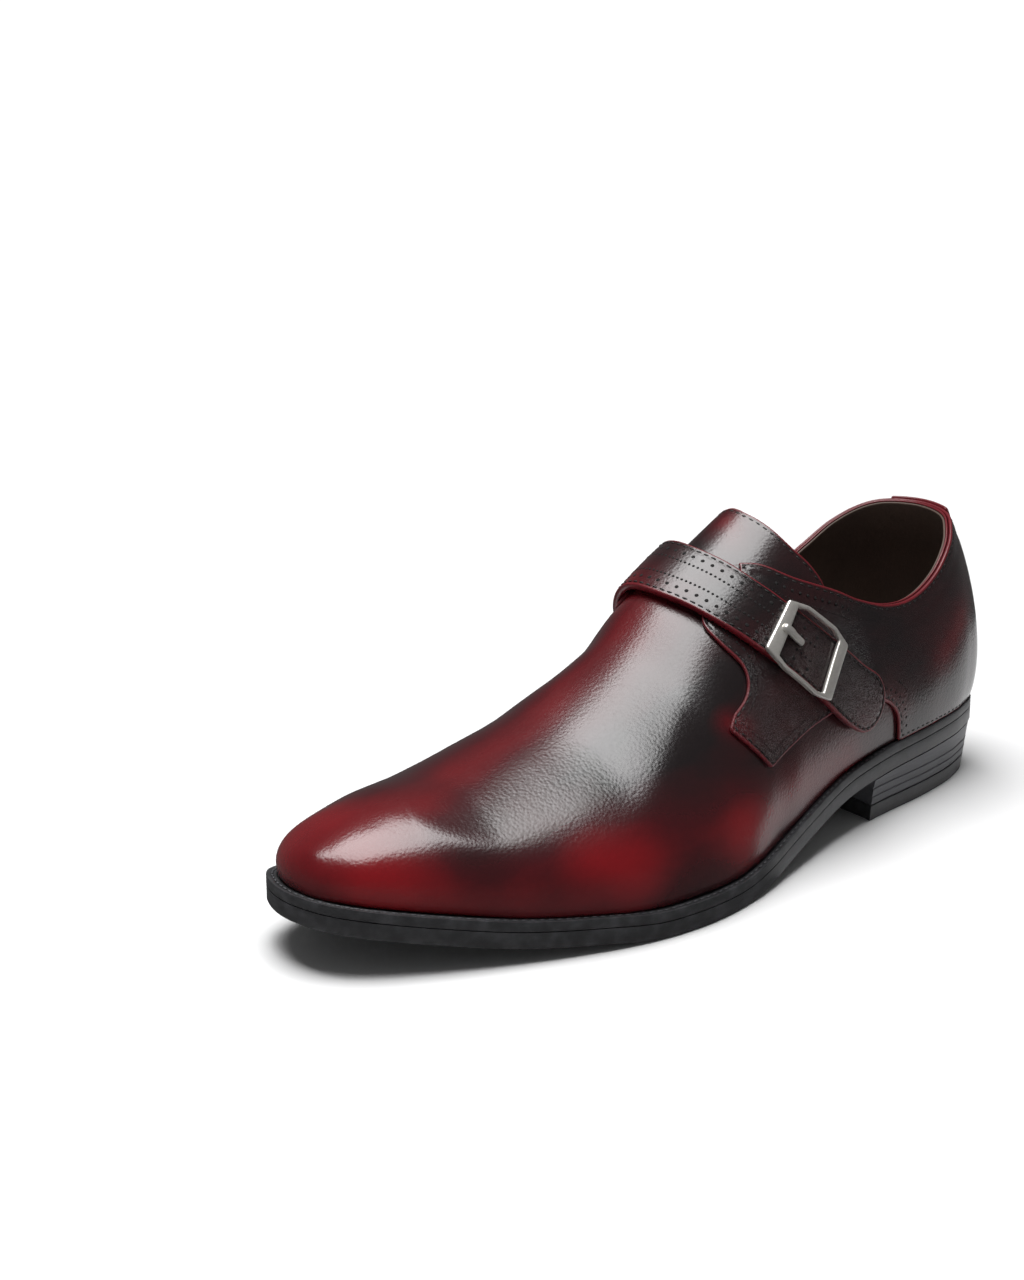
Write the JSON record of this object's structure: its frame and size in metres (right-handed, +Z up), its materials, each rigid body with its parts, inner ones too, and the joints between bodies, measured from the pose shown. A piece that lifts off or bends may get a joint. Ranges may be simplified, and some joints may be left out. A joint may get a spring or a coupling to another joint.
{
  "type": "monk strap shoe",
  "caption": "Low monk strap shoe for the left foot, with a plain vamp, a strap and buckle over the instep, a welt and a stacked heel.",
  "frame": {"origin": "middle of the heel's resting face, on the floor", "axes": "+Z up, toe towards -Y, heel towards +Y, the outer side with the buckle towards +X"},
  "size_m": [0.105, 0.3069, 0.1105],
  "materials": {
    "rubber": "satin black",
    "stack": "satin charcoal, with lift lines",
    "oxblood": "polished, burnished dark",
    "dark": "polished, burnished nearly black",
    "lining": "matt brown",
    "nickel": "brushed"
  },
  "bodies": {
    "root": {"outsole": "rubber", "welt": "rubber", "heel": "stack", "top_lift": "rubber", "insole": "lining", "upper": "oxblood", "quarter": "dark", "tongue": "oxblood", "back_strip": "dark", "strap": "oxblood", "buckle_frame": "nickel", "buckle_prong": "nickel"}
  },
  "joints": []
}
